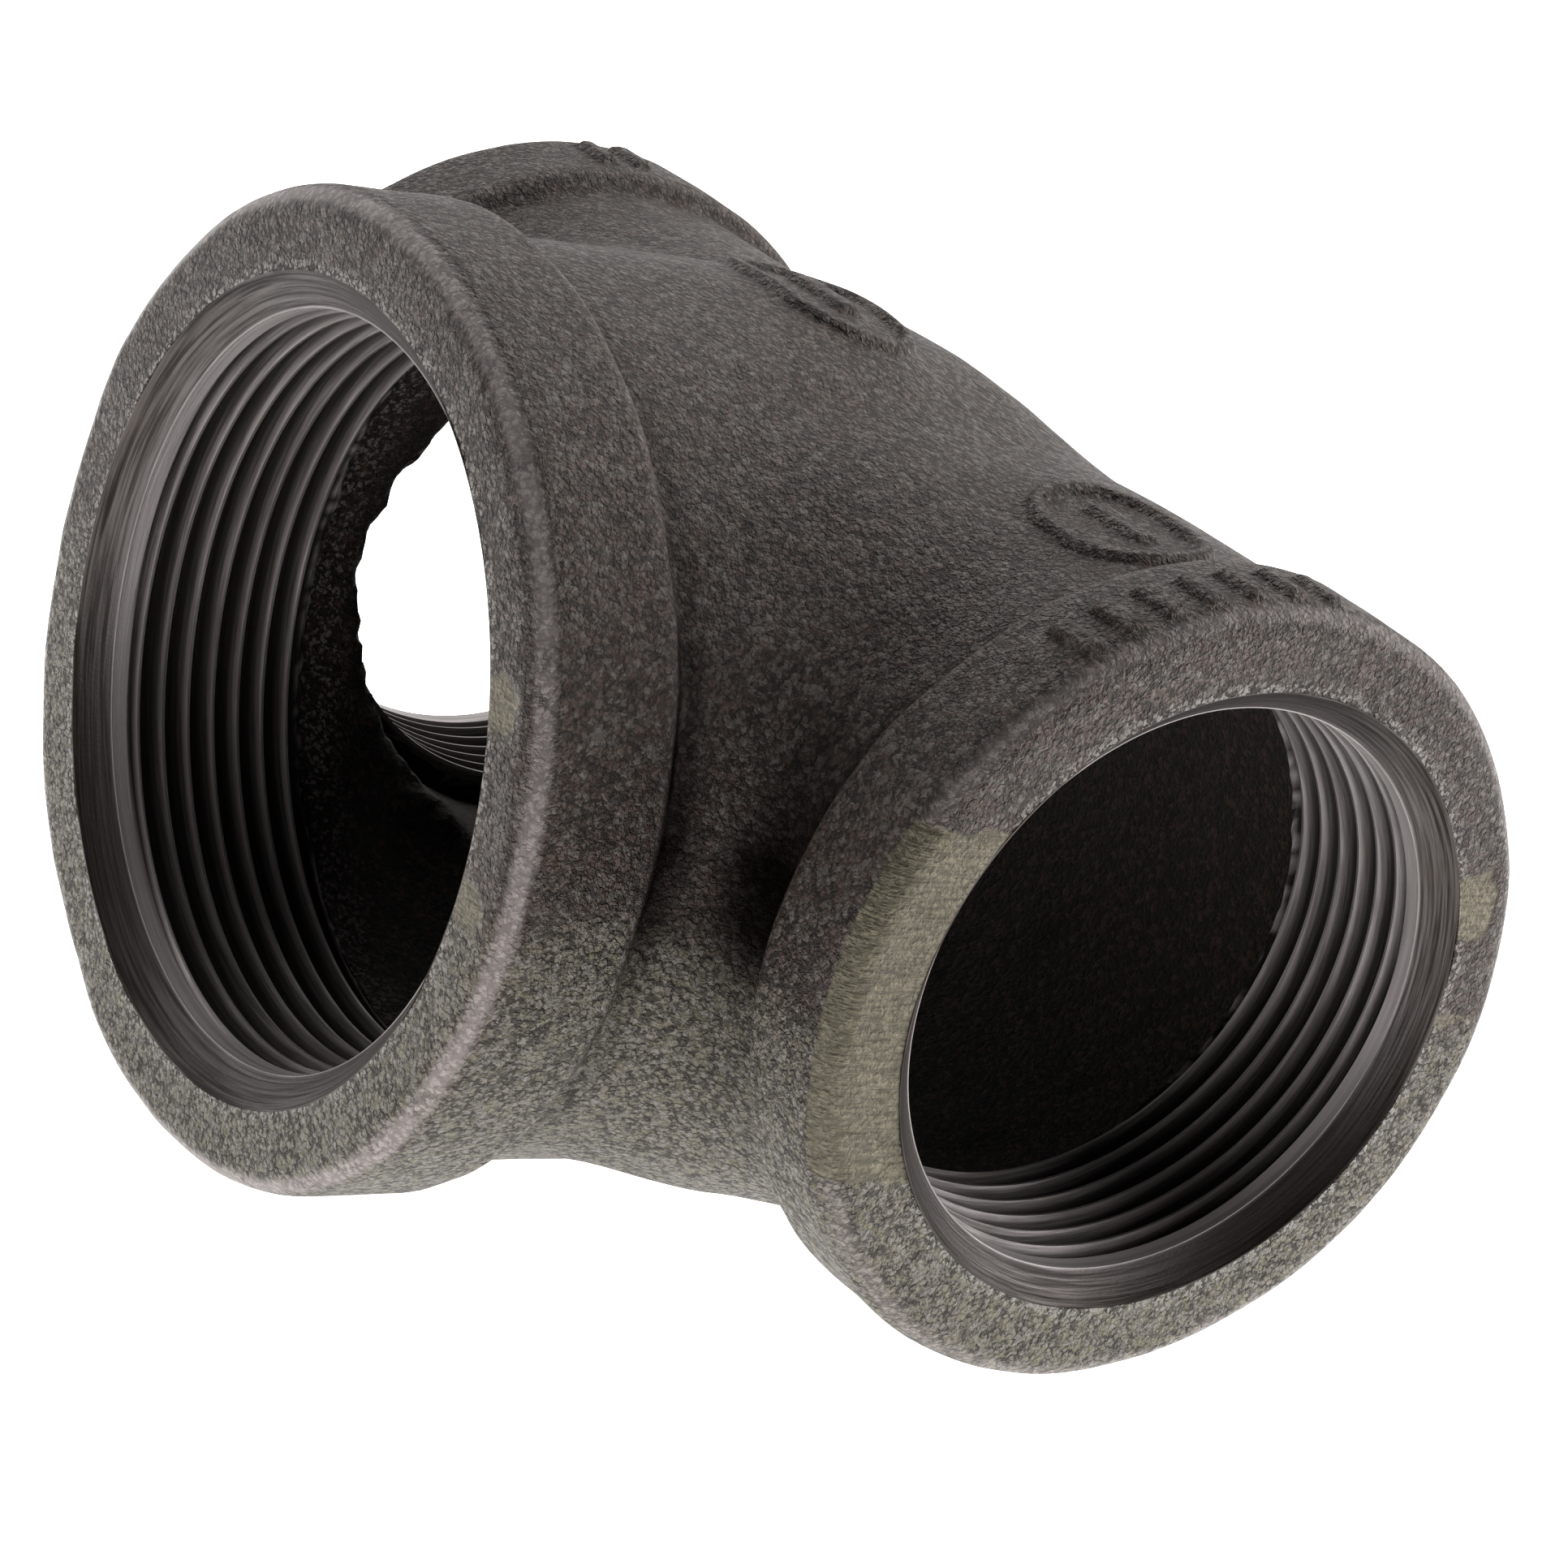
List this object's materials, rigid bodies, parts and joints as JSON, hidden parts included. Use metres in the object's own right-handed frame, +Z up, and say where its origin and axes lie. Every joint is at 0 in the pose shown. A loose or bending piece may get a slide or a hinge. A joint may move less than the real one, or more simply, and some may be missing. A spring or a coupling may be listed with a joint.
{
  "type": "pipe tee",
  "caption": "Reducing pipe tee in malleable iron: a threaded run through it and a larger threaded branch port, with banded ends and a cored waterway.",
  "frame": {"origin": "on the floor, under the middle of the bounding box, with the tee lying flat", "axes": "+X out of the right run port, -Y out of the branch port, +Z up"},
  "size_m": [0.106, 0.08, 0.0753],
  "materials": {
    "cast_skin": "black sand-cast skin, matt and grainy",
    "band_skin": "black sand-cast skin, rubbed lighter along the corners",
    "cut_thread": "cut iron with an oily sheen"
  },
  "bodies": {
    "root": {"tee_body": "cast_skin", "branch_band": "band_skin", "run_band_right": "band_skin", "run_band_left": "band_skin", "branch_thread": "cut_thread", "run_thread_right": "cut_thread", "run_thread_left": "cut_thread", "oval_mark_left": "band_skin", "oval_mark_right": "band_skin", "band_mark_right": "band_skin", "band_mark_left": "band_skin"}
  },
  "joints": []
}
